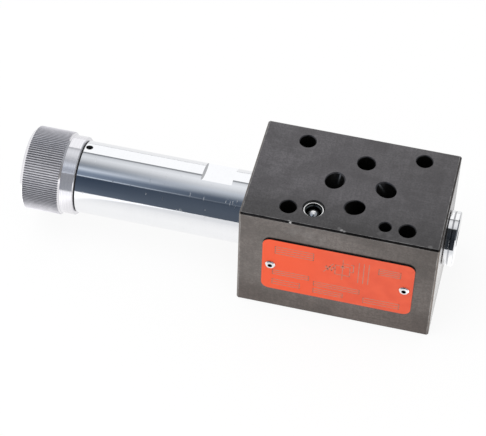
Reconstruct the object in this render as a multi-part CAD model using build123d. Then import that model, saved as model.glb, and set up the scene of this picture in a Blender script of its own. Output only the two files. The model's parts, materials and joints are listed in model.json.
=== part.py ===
from build123d import *
import os
from math import cos, pi, radians, sin

# Hydraulic sandwich valve, size 6: a pressure reducing valve that is set with a hand knob.
# Millimetres. +X points to the gauge port, +Y to the back and +Z up.
# The origin is the centre of the port pattern, on the bottom mounting face.

# Valve block
BLOCK_LEFT = 36.8
BLOCK_RIGHT = 31.0
BLOCK_DEPTH = 44.6
BLOCK_HEIGHT = 44.8
BLOCK_CHAMFER = 0.6
AXIS_HEIGHT = 22.4

# How far a cutting tool reaches past the face it opens
OVERRUN = 1.0

# Port pattern of the 03 size, seen from above
BOLT_RADIUS = 2.75
LEFT_BOLT_X = -21.5
LEFT_BOLT_Y = 15.5
RIGHT_BOLT_X = 19.0
RIGHT_BOLT_Y = 16.25
PORT_A_X = -8.8
PORT_B_X = 8.7
PORT_P_Y = -10.4
PORT_T_Y = 10.4
PIN_HOLE_X = 11.5
PIN_HOLE_Y = -16.25
PIN_HOLE_RADIUS = 2.0
PIN_HOLE_DEPTH = 5.0
MOUTH_CHAMFER = 0.3

# Channels inside the block
SERVICE_RADIUS = 3.1
PUMP_RADIUS = 3.0
TANK_RADIUS = 3.0
CHANNEL_A_ELBOW = (-13.1, -14.25)
CHANNEL_B_ELBOW = (19.2, -9.2)
INCLINED_OVERRUN = 6.0
INLET_CHANNEL_REACH = (0.0, -1.0, -2.2)
OUTLET_CHANNEL_REACH = (0.5, -4.95, 4.05)
DRAIN_RADIUS = 1.5
DRAIN_OFFSET = 9.2

# Recesses and seals of the mounting face
PORT_SEAL_RADIUS = 6.45
PORT_SEAL_DEPTH = 1.4
PORT_SEAL_WIDTH = 2.0
PORT_SEAL_ROUNDING = 0.58
SEAL_CLEARANCE = 0.02

# Spool and its bore
SPOOL_RADIUS = 4.98
SPOOL_CLEARANCE = 0.02
SPOOL_BORE_END = 15.0
SPOOL_END_GAP = 0.05
SPRING_PLATE_ROOM = 2.5
SPOOL_NECK_RADIUS = 3.2
SPOOL_NECK_START = -6.0
SPOOL_NECK_END = 8.8
SPOOL_NOSE_RADIUS = 2.95
SPOOL_NOSE_LENGTH = 3.5
SPOOL_CORE_RADIUS = 1.5
SPOOL_CORE_END = -23.0
PILOT_HOLE_X = 9.9
PILOT_HOLE_RADIUS = 0.8
RELIEF_HOLE_X = -22.3
RELIEF_HOLE_RADIUS = 1.0
BALANCE_GROOVES = (-19.0, -14.5, -10.0, 11.8, 13.2)
BALANCE_GROOVE_WIDTH = 0.6
BALANCE_GROOVE_DEPTH = 0.4
CHAMBER_RADIUS = 6.6
CHAMBER_WIDTH = 4.4
INLET_CHAMBER_X = -4.8
OUTLET_CHAMBER_X = 8.6
ORIFICE_THREAD_RADIUS = 2.5
ORIFICE_LENGTH = 4.5
ORIFICE_BORE_RADIUS = 0.4
ORIFICE_SLOT_WIDTH = 0.8
ORIFICE_SLOT_DEPTH = 1.0

# Adjuster sleeve
SLEEVE_RADIUS = 12.75
SLEEVE_LENGTH = 60.9
SLEEVE_CHAMFER = 0.2
SLEEVE_THREAD_RADIUS = 11.0
SLEEVE_THREAD_LENGTH = 10.6
SLEEVE_FLOOR_GAP = 1.2
SLEEVE_NECK_RADIUS = 9.8
SLEEVE_SEAL_DEPTH = 2.2
SLEEVE_SEAL_RADIUS = 12.0
SPANNER_ACROSS_FLATS = 22.0
SPANNER_FLAT_LENGTH = 10.9
SPANNER_FLAT_START = 7.2
SPANNER_FLAT_ANGLE = 109.8
SPRING_CHAMBER_RADIUS = 7.5
THREAD_CLEARANCE = 0.05

# Adjusting plunger, which screws along the sleeve
PLUNGER_THREAD_RADIUS = 8.0
PLUNGER_LENGTH = 13.8
PLUNGER_LEAD = 0.6
PLUNGER_TRAVEL = 6.0
PLUNGER_GAP = 0.65
PLUNGER_SOCKET_DEPTH = 11.0
THRUST_BALL_RADIUS = 3.0
THRUST_BALL_SHOW = 1.5

# Spring plates and main spring
SPRING_PLATE_RADIUS = 7.2
SPRING_PLATE_THICKNESS = 2.5
SPRING_PLATE_PILOT_RADIUS = 4.2
SPRING_PLATE_PILOT_LENGTH = 1.5
SPRING_WIRE_RADIUS = 1.25
SPRING_MEAN_RADIUS = 5.75
SPRING_ACTIVE_TURNS = 8
SPRING_CLOSED_GAP = 0.05

# Hand knob
KNOB_GAP = 0.25
KNURL_RADIUS = 14.73
KNURL_DEPTH = 0.25
KNURL_TEETH = 108
KNURL_LENGTH = 13.6
KNURL_END_CHAMFER = 1.3
KNURL_SHOULDER_LENGTH = 0.7
COLLAR_RADIUS = 13.9
COLLAR_LENGTH = 4.75
COLLAR_CHAMFER = 0.3
KNOB_DISH_RADIUS = 10.5
KNOB_DISH_DEPTH = 1.0
KNOB_CENTRE_RADIUS = 1.6
HUB_RADIUS = 8.55
HUB_CLEARANCE = 0.05
HUB_BORE_DEPTH = 7.85
HUB_END_GAP = 0.1
HUB_SEAL_FLOOR = 7.0
HUB_SEAL_WIDTH = 2.9
HUB_SEAL_START = 1.1
BACKUP_RING_WIDTH = 1.1
DRIVE_BORE_RADIUS = 4.5
DRIVE_BORE_DEPTH = 14.0
DRIVE_HEX = 7.0
DRIVE_HEX_CLEARANCE = 0.15
DRIVE_END_GAP = 0.5

# Pin that holds the knob in the sleeve
PIN_RADIUS = 1.2
PIN_CLEARANCE = 0.05
PIN_FROM_SLEEVE_END = 1.7
PIN_ANGLE = 102.0
PIN_SINK = 1.05
PIN_GROOVE_FLOOR = 7.2
PIN_GROOVE_WIDTH = 2.7
PIN_TIP_GAP = 0.25

# Gauge port and its plug, on the right face
GAUGE_HEIGHT = 27.2
GAUGE_THREAD_RADIUS = 6.5
GAUGE_THREAD_DEPTH = 9.3
GAUGE_DRILL_RADIUS = 5.75
GAUGE_DRILL_DEPTH = 9.9
GAUGE_LINK_RADIUS = 2.0
GAUGE_WASHER_RADIUS = 9.5
GAUGE_WASHER_THICKNESS = 1.8
GAUGE_WASHER_BORE = 7.7
GAUGE_WASHER_CHAMFER = 0.3
GAUGE_LIP_RADIUS = 6.7
GAUGE_LIP_THICKNESS = 1.5
GAUGE_HEAD_LENGTH = 1.95
GAUGE_HEAD_CHAMFER = 0.4
GAUGE_GROOVE_CHAMFER = 0.3
GAUGE_STEM_LENGTH = 8.5
GAUGE_STEM_LEAD = 0.8
GAUGE_SOCKET_HEX = 6.0
GAUGE_SOCKET_DEPTH = 5.5

# Expander plug that closes the elbow drilling of channel A
EXPANDER_RADIUS = 3.5
EXPANDER_SINK = 0.8
EXPANDER_LENGTH = 7.8
EXPANDER_WALL = 0.95
EXPANDER_FLOOR = 0.8
EXPANDER_BALL_SINK = 0.8
EXPANDER_CHAMFER = 0.1
EXPANDER_RIM_WIDTH = 0.35
EXPANDER_STEP_DEPTH = 0.6
EXPANDER_STEP_WIDTH = 0.2
ELBOW_DRILL_RADIUS = 2.4

# Nameplate and its rivets
NAMEPLATE_CENTRE_X = -2.15
NAMEPLATE_LENGTH = 52.1
NAMEPLATE_HEIGHT = 25.1
NAMEPLATE_DEPTH = 0.6
NAMEPLATE_CORNER_RADIUS = 2.8
NAMEPLATE_EDGE_RADIUS = 0.15
RIVET_OFFSET = 23.07
RIVET_HEAD_RADIUS = 1.75
RIVET_HEAD_HEIGHT = 0.7
RIVET_EDGE_HEIGHT = 0.25
RIVET_SHOULDER_RADIUS = 1.45
RIVET_SHOULDER_HEIGHT = 0.56
RIVET_CROWN_RADIUS = 1.05
RIVET_SHANK_RADIUS = 1.2
RIVET_SHANK_DEPTH = 2.4
RIVET_BORE_RADIUS = 0.72
RIVET_BORE_DEPTH = 2.0

# Places along the valve's axis that follow from the sizes above
SEAT_X = -BLOCK_LEFT
SLEEVE_END_X = SEAT_X - SLEEVE_LENGTH
KNOB_SHOULDER_X = SLEEVE_END_X - KNOB_GAP
HUB_STOP_X = SLEEVE_END_X + HUB_BORE_DEPTH
HUB_END_X = HUB_STOP_X - HUB_END_GAP
PLUNGER_START_X = HUB_END_X + PLUNGER_GAP
PLUNGER_END_X = PLUNGER_START_X + PLUNGER_LENGTH
BALL_X = PLUNGER_END_X + THRUST_BALL_SHOW
ADJUSTER_PLATE_X = BALL_X + THRUST_BALL_SHOW
SPRING_START_X = ADJUSTER_PLATE_X + SPRING_PLATE_THICKNESS
THREAD_END_X = SEAT_X + SLEEVE_THREAD_LENGTH
CAVITY_FLOOR_X = THREAD_END_X + SLEEVE_FLOOR_GAP
SPOOL_END_X = SPOOL_BORE_END - SPOOL_END_GAP
SPOOL_SHOULDER_X = CAVITY_FLOOR_X - SPRING_PLATE_ROOM
SPRING_END_X = SPOOL_SHOULDER_X - SPRING_PLATE_THICKNESS
HUB_BORE_RADIUS = HUB_RADIUS + HUB_CLEARANCE
PIN_X = SLEEVE_END_X + PIN_FROM_SLEEVE_END
TOP = BLOCK_HEIGHT
FRONT_Y = -BLOCK_DEPTH / 2


def turned(profile, height=AXIS_HEIGHT):
    """Turn a closed outline of (x, radius) points about an axis along X at the given height."""
    outline = make_face(Plane.XZ * Polyline(*profile, close=True))
    return Pos(0, 0, height) * revolve(outline, Axis.X)


def upright(profile, x, y):
    """Turn a closed outline of (radius, z) points about a vertical axis through (x, y)."""
    outline = make_face(Plane.XZ * Polyline(*profile, close=True))
    return Pos(x, y, 0) * revolve(outline, Axis.Z)


def rod(start, end, radius):
    """A round rod between two points."""
    direction = Vector(*end) - Vector(*start)
    base = Plane(origin=start, z_dir=direction)
    return base * Cylinder(radius, direction.length, align=(Align.CENTER, Align.CENTER, Align.MIN))


def inclined_drilling(mouth, end, radius):
    """A drilling that starts outside the face it enters."""
    direction = (Vector(*end) - Vector(*mouth)).normalized()
    start = Vector(*mouth) - direction * INCLINED_OVERRUN
    return rod(tuple(start), end, radius)


def hexagon_bar(across_flats, start_x, end_x, height=AXIS_HEIGHT):
    """A hexagonal bar along X between two places on the axis."""
    outline = Plane(origin=(start_x, 0, height), z_dir=(1, 0, 0)) * RegularPolygon(
        across_flats / 2, 6, major_radius=False
    )
    return extrude(outline, end_x - start_x, dir=(1, 0, 0))


def through_hole(x, y, radius):
    """An upright hole through the block with a small chamfer at both mouths."""
    flare = radius + MOUTH_CHAMFER
    profile = [
        (0, -OVERRUN),
        (flare, -OVERRUN),
        (flare, 0),
        (radius, MOUTH_CHAMFER),
        (radius, TOP - MOUTH_CHAMFER),
        (flare, TOP),
        (flare, TOP + OVERRUN),
        (0, TOP + OVERRUN),
    ]
    return upright(profile, x, y)


def pin_hole():
    """The blind hole for the locating pin of the valve above."""
    flare = PIN_HOLE_RADIUS + MOUTH_CHAMFER
    profile = [
        (0, TOP - PIN_HOLE_DEPTH),
        (PIN_HOLE_RADIUS, TOP - PIN_HOLE_DEPTH),
        (PIN_HOLE_RADIUS, TOP - MOUTH_CHAMFER),
        (flare, TOP),
        (flare, TOP + OVERRUN),
        (0, TOP + OVERRUN),
    ]
    return upright(profile, PIN_HOLE_X, PIN_HOLE_Y)


def expander_hole():
    """The stepped drilling that the expander plug closes."""
    seat = TOP - EXPANDER_SINK - EXPANDER_LENGTH
    flare = EXPANDER_RADIUS + MOUTH_CHAMFER
    profile = [
        (0, AXIS_HEIGHT),
        (ELBOW_DRILL_RADIUS, AXIS_HEIGHT),
        (ELBOW_DRILL_RADIUS, seat),
        (EXPANDER_RADIUS, seat),
        (EXPANDER_RADIUS, TOP - MOUTH_CHAMFER),
        (flare, TOP),
        (flare, TOP + OVERRUN),
        (0, TOP + OVERRUN),
    ]
    return upright(profile, *CHANNEL_A_ELBOW)


def service_channels():
    """Channels A and B, which bend round the front of the spool bore."""
    tools = []
    for x, elbow in ((PORT_A_X, CHANNEL_A_ELBOW), (PORT_B_X, CHANNEL_B_ELBOW)):
        corner = (*elbow, AXIS_HEIGHT)
        tools.append(inclined_drilling((x, 0, TOP), corner, SERVICE_RADIUS))
        tools.append(inclined_drilling((x, 0, 0), corner, SERVICE_RADIUS))
        tools.append(Pos(*corner) * Sphere(SERVICE_RADIUS))
    return tools


def pump_channels():
    """Channel P from below and the reduced pressure channel from above, each to its chamber."""
    channels = []
    for mouth_z, chamber_x, reach in (
        (0, INLET_CHAMBER_X, INLET_CHANNEL_REACH),
        (TOP, OUTLET_CHAMBER_X, OUTLET_CHANNEL_REACH),
    ):
        end = (chamber_x + reach[0], reach[1], AXIS_HEIGHT + reach[2])
        channels.append(inclined_drilling((0, PORT_P_Y, mouth_z), end, PUMP_RADIUS))
    return channels


def axial_bore():
    """The stepped bore for the sleeve and the spool, with the two pressure chambers."""
    spool_bore = SPOOL_RADIUS + SPOOL_CLEARANCE
    seal_floor = SEAT_X + SLEEVE_SEAL_DEPTH
    half = CHAMBER_WIDTH / 2
    profile = [
        (SEAT_X - OVERRUN, 0),
        (SEAT_X - OVERRUN, SLEEVE_SEAL_RADIUS),
        (seal_floor, SLEEVE_SEAL_RADIUS),
        (seal_floor, SLEEVE_THREAD_RADIUS),
        (CAVITY_FLOOR_X, SLEEVE_THREAD_RADIUS),
        (CAVITY_FLOOR_X, spool_bore),
    ]
    for centre in (INLET_CHAMBER_X, OUTLET_CHAMBER_X):
        profile.append((centre - half, spool_bore))
        profile.append((centre - half, CHAMBER_RADIUS))
        profile.append((centre + half, CHAMBER_RADIUS))
        profile.append((centre + half, spool_bore))
    profile.append((SPOOL_BORE_END, spool_bore))
    profile.append((SPOOL_BORE_END, 0))
    return turned(profile)


def gauge_port():
    """The threaded port on the right face, with the drilling that links it to the spool bore."""
    thread_floor = BLOCK_RIGHT - GAUGE_THREAD_DEPTH
    floor = BLOCK_RIGHT - GAUGE_DRILL_DEPTH
    profile = [
        (SPOOL_BORE_END - OVERRUN, 0),
        (SPOOL_BORE_END - OVERRUN, GAUGE_LINK_RADIUS),
        (floor, GAUGE_LINK_RADIUS),
        (floor, GAUGE_DRILL_RADIUS),
        (thread_floor, GAUGE_DRILL_RADIUS),
        (thread_floor, GAUGE_THREAD_RADIUS),
        (BLOCK_RIGHT + OVERRUN, GAUGE_THREAD_RADIUS),
        (BLOCK_RIGHT + OVERRUN, 0),
    ]
    return turned(profile, GAUGE_HEIGHT)


def drain():
    """The drilling that drains the spring chamber into channel T."""
    return rod(
        (CAVITY_FLOOR_X - SLEEVE_FLOOR_GAP / 2, DRAIN_OFFSET, AXIS_HEIGHT),
        (-OVERRUN, DRAIN_OFFSET, AXIS_HEIGHT),
        DRAIN_RADIUS,
    )


def port_places():
    """The four ports of the mounting face."""
    return [(0, PORT_P_Y), (0, PORT_T_Y), (PORT_A_X, 0), (PORT_B_X, 0)]


def rivet_places():
    """The two rivets on the nameplate's centre line."""
    return [NAMEPLATE_CENTRE_X - RIVET_OFFSET, NAMEPLATE_CENTRE_X + RIVET_OFFSET]


def bolt_places():
    """The four fixing bolts."""
    return [
        (LEFT_BOLT_X, LEFT_BOLT_Y),
        (LEFT_BOLT_X, -LEFT_BOLT_Y),
        (RIGHT_BOLT_X, RIGHT_BOLT_Y),
        (RIGHT_BOLT_X, -RIGHT_BOLT_Y),
    ]


def valve_body():
    """The drilled steel block."""
    length = BLOCK_LEFT + BLOCK_RIGHT
    block = Pos((BLOCK_RIGHT - BLOCK_LEFT) / 2, 0, BLOCK_HEIGHT / 2) * Box(
        length, BLOCK_DEPTH, BLOCK_HEIGHT
    )
    block = chamfer(block.edges(), BLOCK_CHAMFER)
    tools = [through_hole(x, y, BOLT_RADIUS) for x, y in bolt_places()]
    tools.append(through_hole(0, PORT_T_Y, TANK_RADIUS))
    tools += [pin_hole(), expander_hole(), axial_bore(), gauge_port(), drain()]
    tools += service_channels() + pump_channels()
    for x, y in port_places():
        tools.append(Pos(x, y, PORT_SEAL_DEPTH / 2) * Cylinder(PORT_SEAL_RADIUS, PORT_SEAL_DEPTH))
    pilot = RIVET_SHANK_RADIUS + SEAL_CLEARANCE
    depth = RIVET_SHANK_DEPTH + SEAL_CLEARANCE
    for x in rivet_places():
        tools.append(rod((x, FRONT_Y - OVERRUN, AXIS_HEIGHT), (x, FRONT_Y + depth, AXIS_HEIGHT), pilot))
    for tool in tools:
        block = block - tool
    slanted_mouths = block.edges().filter_by(GeomType.ELLIPSE).filter_by_position(Axis.Z, TOP, TOP)
    return chamfer(slanted_mouths, MOUTH_CHAMFER)


def port_o_rings():
    """The four port seals, pressed flat in their recesses."""
    outer = PORT_SEAL_RADIUS - SEAL_CLEARANCE
    height = PORT_SEAL_DEPTH - SEAL_CLEARANCE
    section = Plane.XZ * Pos(outer - PORT_SEAL_WIDTH / 2, height / 2) * RectangleRounded(
        PORT_SEAL_WIDTH, height, PORT_SEAL_ROUNDING
    )
    ring = revolve(section, Axis.Z)
    return Compound(children=[Pos(x, y, 0) * ring for x, y in port_places()])


def nameplate():
    """The plate on the front face, with rounded corners and two rivet holes."""
    outline = RectangleRounded(NAMEPLATE_LENGTH, NAMEPLATE_HEIGHT, NAMEPLATE_CORNER_RADIUS)
    face = Plane(origin=(NAMEPLATE_CENTRE_X, FRONT_Y, AXIS_HEIGHT), x_dir=(1, 0, 0), z_dir=(0, -1, 0))
    plate = extrude(face * outline, NAMEPLATE_DEPTH)
    front = plate.faces().sort_by(Axis.Y)[0]
    plate = fillet(front.edges(), NAMEPLATE_EDGE_RADIUS)
    hole = RIVET_SHANK_RADIUS + SEAL_CLEARANCE
    for x in rivet_places():
        near = (x, FRONT_Y - NAMEPLATE_DEPTH - OVERRUN, AXIS_HEIGHT)
        plate = plate - rod(near, (x, FRONT_Y + OVERRUN, AXIS_HEIGHT), hole)
    return plate


def nameplate_rivets():
    """Hollow-headed drive rivets through the plate into the block."""
    crown = RIVET_HEAD_HEIGHT
    profile = [
        (RIVET_BORE_RADIUS, crown),
        (RIVET_BORE_RADIUS, crown - RIVET_BORE_DEPTH),
        (0, crown - RIVET_BORE_DEPTH),
        (0, -NAMEPLATE_DEPTH - RIVET_SHANK_DEPTH),
        (RIVET_SHANK_RADIUS, -NAMEPLATE_DEPTH - RIVET_SHANK_DEPTH),
        (RIVET_SHANK_RADIUS, 0),
        (RIVET_HEAD_RADIUS, 0),
        (RIVET_HEAD_RADIUS, RIVET_EDGE_HEIGHT),
        (RIVET_SHOULDER_RADIUS, RIVET_SHOULDER_HEIGHT),
        (RIVET_CROWN_RADIUS, crown),
    ]
    outline = make_face(Plane.XZ * Polyline(*profile, close=True))
    rivet = revolve(outline, Axis.Z)
    seat = FRONT_Y - NAMEPLATE_DEPTH
    places = [Plane(origin=(x, seat, AXIS_HEIGHT), z_dir=(0, -1, 0)) for x in rivet_places()]
    return Compound(children=[place * rivet for place in places])


def expander_sleeve():
    """The cup of the expander plug, with a stepped mouth and a closed lower end."""
    outer = EXPANDER_RADIUS - SEAL_CLEARANCE
    inner = EXPANDER_RADIUS - EXPANDER_WALL
    ring = TOP - EXPANDER_SINK
    mouth = outer - EXPANDER_CHAMFER - EXPANDER_RIM_WIDTH
    step = ring - EXPANDER_STEP_DEPTH
    taper = mouth - EXPANDER_STEP_WIDTH - inner
    floor = ring - EXPANDER_LENGTH
    profile = [
        (0, floor),
        (outer, floor),
        (outer, ring - EXPANDER_CHAMFER),
        (outer - EXPANDER_CHAMFER, ring),
        (mouth, ring),
        (mouth, step),
        (inner + taper, step),
        (inner, step - taper),
        (inner, floor + EXPANDER_FLOOR),
        (0, floor + EXPANDER_FLOOR),
    ]
    return upright(profile, *CHANNEL_A_ELBOW)


def expander_ball():
    """The ball that was pressed in to spread the cup."""
    radius = EXPANDER_RADIUS - EXPANDER_WALL - SEAL_CLEARANCE
    height = TOP - EXPANDER_SINK - EXPANDER_BALL_SINK - radius
    return Pos(*CHANNEL_A_ELBOW, height) * Sphere(radius)


def gauge_port_plug():
    """The plug of the gauge port: threaded stem, round head and hexagonal socket."""
    face = BLOCK_RIGHT + GAUGE_WASHER_THICKNESS
    end = face + GAUGE_HEAD_LENGTH
    tip = BLOCK_RIGHT - GAUGE_STEM_LENGTH
    stem = GAUGE_THREAD_RADIUS - THREAD_CLEARANCE
    profile = [
        (tip, 0),
        (tip, stem - GAUGE_STEM_LEAD),
        (tip + GAUGE_STEM_LEAD, stem),
        (face, stem),
        (face, GAUGE_WASHER_RADIUS - GAUGE_GROOVE_CHAMFER),
        (face + GAUGE_GROOVE_CHAMFER, GAUGE_WASHER_RADIUS),
        (end - GAUGE_HEAD_CHAMFER, GAUGE_WASHER_RADIUS),
        (end, GAUGE_WASHER_RADIUS - GAUGE_HEAD_CHAMFER),
        (end, 0),
    ]
    socket = hexagon_bar(GAUGE_SOCKET_HEX, end - GAUGE_SOCKET_DEPTH, end + OVERRUN, GAUGE_HEIGHT)
    return turned(profile, GAUGE_HEIGHT) - socket


def gauge_port_washer():
    """The metal ring of the seal under the plug's head."""
    cut = GAUGE_WASHER_CHAMFER
    left = BLOCK_RIGHT
    right = BLOCK_RIGHT + GAUGE_WASHER_THICKNESS
    profile = [
        (left, GAUGE_WASHER_BORE),
        (left, GAUGE_WASHER_RADIUS - cut),
        (left + cut, GAUGE_WASHER_RADIUS),
        (right - cut, GAUGE_WASHER_RADIUS),
        (right, GAUGE_WASHER_RADIUS - cut),
        (right, GAUGE_WASHER_BORE),
    ]
    return turned(profile, GAUGE_HEIGHT)


def gauge_port_seal_lip():
    """The rubber lip inside the metal ring."""
    middle = BLOCK_RIGHT + GAUGE_WASHER_THICKNESS / 2
    half = GAUGE_LIP_THICKNESS / 2
    outer = GAUGE_WASHER_BORE - SEAL_CLEARANCE
    waist = (GAUGE_LIP_RADIUS + outer) / 2
    profile = [
        (middle - half, waist),
        (middle - half / 2, outer),
        (middle + half / 2, outer),
        (middle + half, waist),
        (middle + half / 2, GAUGE_LIP_RADIUS),
        (middle - half / 2, GAUGE_LIP_RADIUS),
    ]
    return turned(profile, GAUGE_HEIGHT)


def spanner_flats():
    """Two boxes that cut the flats on the sleeve."""
    turn = Rot(SPANNER_FLAT_ANGLE - 90, 0, 0)
    middle = SEAT_X - SPANNER_FLAT_START - SPANNER_FLAT_LENGTH / 2
    height = SLEEVE_RADIUS + OVERRUN - SPANNER_ACROSS_FLATS / 2
    width = 2 * (SLEEVE_RADIUS + OVERRUN)
    flats = []
    for side in (-1, 1):
        offset = side * (SPANNER_ACROSS_FLATS + height) / 2
        cutter = Pos(0, 0, offset) * Box(SPANNER_FLAT_LENGTH, width, height)
        flats.append(Pos(middle, 0, AXIS_HEIGHT) * turn.inverse() * cutter)
    return flats


def pin_point(radius):
    """A point on the retaining pin's axis, at a distance from the valve's axis."""
    angle = radians(PIN_ANGLE)
    return (PIN_X, -radius * cos(angle), AXIS_HEIGHT + radius * sin(angle))


def adjuster_sleeve():
    """The tube that carries the spring, the plunger and the knob."""
    thread = SLEEVE_THREAD_RADIUS - THREAD_CLEARANCE
    plunger_bore = PLUNGER_THREAD_RADIUS + THREAD_CLEARANCE
    plunger_bore_end = PLUNGER_END_X + PLUNGER_TRAVEL + SLEEVE_CHAMFER
    neck_end = SEAT_X + SLEEVE_SEAL_DEPTH
    profile = [
        (SLEEVE_END_X, HUB_BORE_RADIUS),
        (SLEEVE_END_X, SLEEVE_RADIUS - SLEEVE_CHAMFER),
        (SLEEVE_END_X + SLEEVE_CHAMFER, SLEEVE_RADIUS),
        (SEAT_X, SLEEVE_RADIUS),
        (SEAT_X, SLEEVE_NECK_RADIUS),
        (neck_end, SLEEVE_NECK_RADIUS),
        (neck_end + THREAD_CLEARANCE, thread),
        (THREAD_END_X, thread),
        (THREAD_END_X, SPRING_CHAMBER_RADIUS),
        (plunger_bore_end, SPRING_CHAMBER_RADIUS),
        (plunger_bore_end, plunger_bore),
        (HUB_STOP_X, plunger_bore),
        (HUB_STOP_X, HUB_BORE_RADIUS),
    ]
    sleeve = turned(profile)
    for cutter in spanner_flats():
        sleeve = sleeve - cutter
    inner = pin_point(PLUNGER_THREAD_RADIUS)
    outer = pin_point(SLEEVE_RADIUS + OVERRUN)
    return sleeve - rod(inner, outer, PIN_RADIUS + PIN_CLEARANCE)


def sleeve_o_ring():
    """The seal between the sleeve's neck and the block."""
    gap = SLEEVE_SEAL_RADIUS - SLEEVE_NECK_RADIUS
    radius = gap / 2 - SEAL_CLEARANCE
    middle = (SLEEVE_SEAL_RADIUS + SLEEVE_NECK_RADIUS) / 2
    section = Plane.XZ * Pos(SEAT_X + SLEEVE_SEAL_DEPTH / 2, middle) * Circle(radius)
    return Pos(0, 0, AXIS_HEIGHT) * revolve(section, Axis.X)


def spool():
    """The control piston, with its neck, balancing grooves and inner drilling."""
    core_open = SPOOL_END_X - ORIFICE_LENGTH
    nose = SPOOL_SHOULDER_X - SPOOL_NOSE_LENGTH
    profile = [
        (nose, 0),
        (nose, SPOOL_NOSE_RADIUS),
        (SPOOL_SHOULDER_X, SPOOL_NOSE_RADIUS),
        (SPOOL_SHOULDER_X, SPOOL_RADIUS),
        (SPOOL_NECK_START, SPOOL_RADIUS),
        (SPOOL_NECK_START, SPOOL_NECK_RADIUS),
        (SPOOL_NECK_END, SPOOL_NECK_RADIUS),
        (SPOOL_NECK_END, SPOOL_RADIUS),
        (SPOOL_END_X, SPOOL_RADIUS),
        (SPOOL_END_X, ORIFICE_THREAD_RADIUS),
        (core_open, ORIFICE_THREAD_RADIUS),
        (core_open, SPOOL_CORE_RADIUS),
        (SPOOL_CORE_END, SPOOL_CORE_RADIUS),
        (SPOOL_CORE_END, 0),
    ]
    piston = turned(profile)
    floor = SPOOL_RADIUS - BALANCE_GROOVE_DEPTH
    for x in BALANCE_GROOVES:
        groove = [
            (x, floor),
            (x, SPOOL_RADIUS + OVERRUN),
            (x + BALANCE_GROOVE_WIDTH, SPOOL_RADIUS + OVERRUN),
            (x + BALANCE_GROOVE_WIDTH, floor),
        ]
        piston = piston - turned(groove)
    for x, radius in ((PILOT_HOLE_X, PILOT_HOLE_RADIUS), (RELIEF_HOLE_X, RELIEF_HOLE_RADIUS)):
        reach = SPOOL_RADIUS + OVERRUN
        piston = piston - rod((x, 0, AXIS_HEIGHT - reach), (x, 0, AXIS_HEIGHT + reach), radius)
    return piston


def damping_orifice():
    """The slotted screw with a fine bore in the right end of the spool."""
    start = SPOOL_END_X - ORIFICE_LENGTH + SEAL_CLEARANCE
    end = SPOOL_END_X - THREAD_CLEARANCE
    outer = ORIFICE_THREAD_RADIUS - SEAL_CLEARANCE
    profile = [
        (start, ORIFICE_BORE_RADIUS),
        (start, outer),
        (end, outer),
        (end, ORIFICE_BORE_RADIUS),
    ]
    across = 2 * (outer + OVERRUN)
    slot = Pos(end, 0, AXIS_HEIGHT) * Box(2 * ORIFICE_SLOT_DEPTH, across, ORIFICE_SLOT_WIDTH)
    return turned(profile) - slot


def spool_spring_plate():
    """The plate on the spool's nose, with a pilot inside the spring."""
    bore = SPOOL_NOSE_RADIUS + THREAD_CLEARANCE
    profile = [
        (SPOOL_SHOULDER_X, bore),
        (SPOOL_SHOULDER_X, SPRING_PLATE_RADIUS),
        (SPRING_END_X, SPRING_PLATE_RADIUS),
        (SPRING_END_X, SPRING_PLATE_PILOT_RADIUS),
        (SPRING_END_X - SPRING_PLATE_PILOT_LENGTH, SPRING_PLATE_PILOT_RADIUS),
        (SPRING_END_X - SPRING_PLATE_PILOT_LENGTH, bore),
    ]
    return turned(profile)


def adjuster_spring_plate():
    """The plate that the thrust ball pushes, with a pilot inside the spring."""
    pilot_end = SPRING_START_X + SPRING_PLATE_PILOT_LENGTH
    profile = [
        (ADJUSTER_PLATE_X, 0),
        (ADJUSTER_PLATE_X, SPRING_PLATE_RADIUS),
        (SPRING_START_X, SPRING_PLATE_RADIUS),
        (SPRING_START_X, SPRING_PLATE_PILOT_RADIUS),
        (pilot_end, SPRING_PLATE_PILOT_RADIUS),
        (pilot_end, 0),
    ]
    return turned(profile) - thrust_ball(SEAL_CLEARANCE)


def thrust_ball(growth=0.0):
    """The ball between plunger and plate, which keeps the spring from being twisted."""
    return Pos(BALL_X, 0, AXIS_HEIGHT) * Rot(0, 90, 0) * Sphere(THRUST_BALL_RADIUS + growth)


def main_spring():
    """The compression spring, with a closed turn at each end."""
    wire = SPRING_WIRE_RADIUS
    start = SPRING_START_X + wire
    length = SPRING_END_X - wire - start
    dead = 2 * wire + SPRING_CLOSED_GAP
    active = length - 2 * dead
    pitch = active / SPRING_ACTIVE_TURNS
    lengths = (
        (start, dead, dead),
        (start + dead, pitch, active),
        (start + dead + active, dead, dead),
    )
    coils = []
    for place, step, height in lengths:
        path = Helix(step, height, SPRING_MEAN_RADIUS)
        section = Plane(origin=path @ 0, z_dir=path % 0) * Circle(wire)
        coil = sweep(section, path)
        coils.append(Pos(place, 0, AXIS_HEIGHT) * Rot(0, 90, 0) * coil)
    return coils[0] + coils[1] + coils[2]


def adjusting_plunger():
    """The threaded plunger that the knob turns, with a hexagonal bore and a ball seat."""
    outer = PLUNGER_THREAD_RADIUS
    profile = [
        (PLUNGER_START_X, 0),
        (PLUNGER_START_X, outer - PLUNGER_LEAD),
        (PLUNGER_START_X + PLUNGER_LEAD, outer),
        (PLUNGER_END_X - PLUNGER_LEAD, outer),
        (PLUNGER_END_X, outer - PLUNGER_LEAD),
        (PLUNGER_END_X, 0),
    ]
    socket = hexagon_bar(
        DRIVE_HEX + 2 * DRIVE_HEX_CLEARANCE, PLUNGER_START_X - OVERRUN, PLUNGER_START_X + PLUNGER_SOCKET_DEPTH
    )
    return turned(profile) - socket - thrust_ball(SEAL_CLEARANCE)


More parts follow.
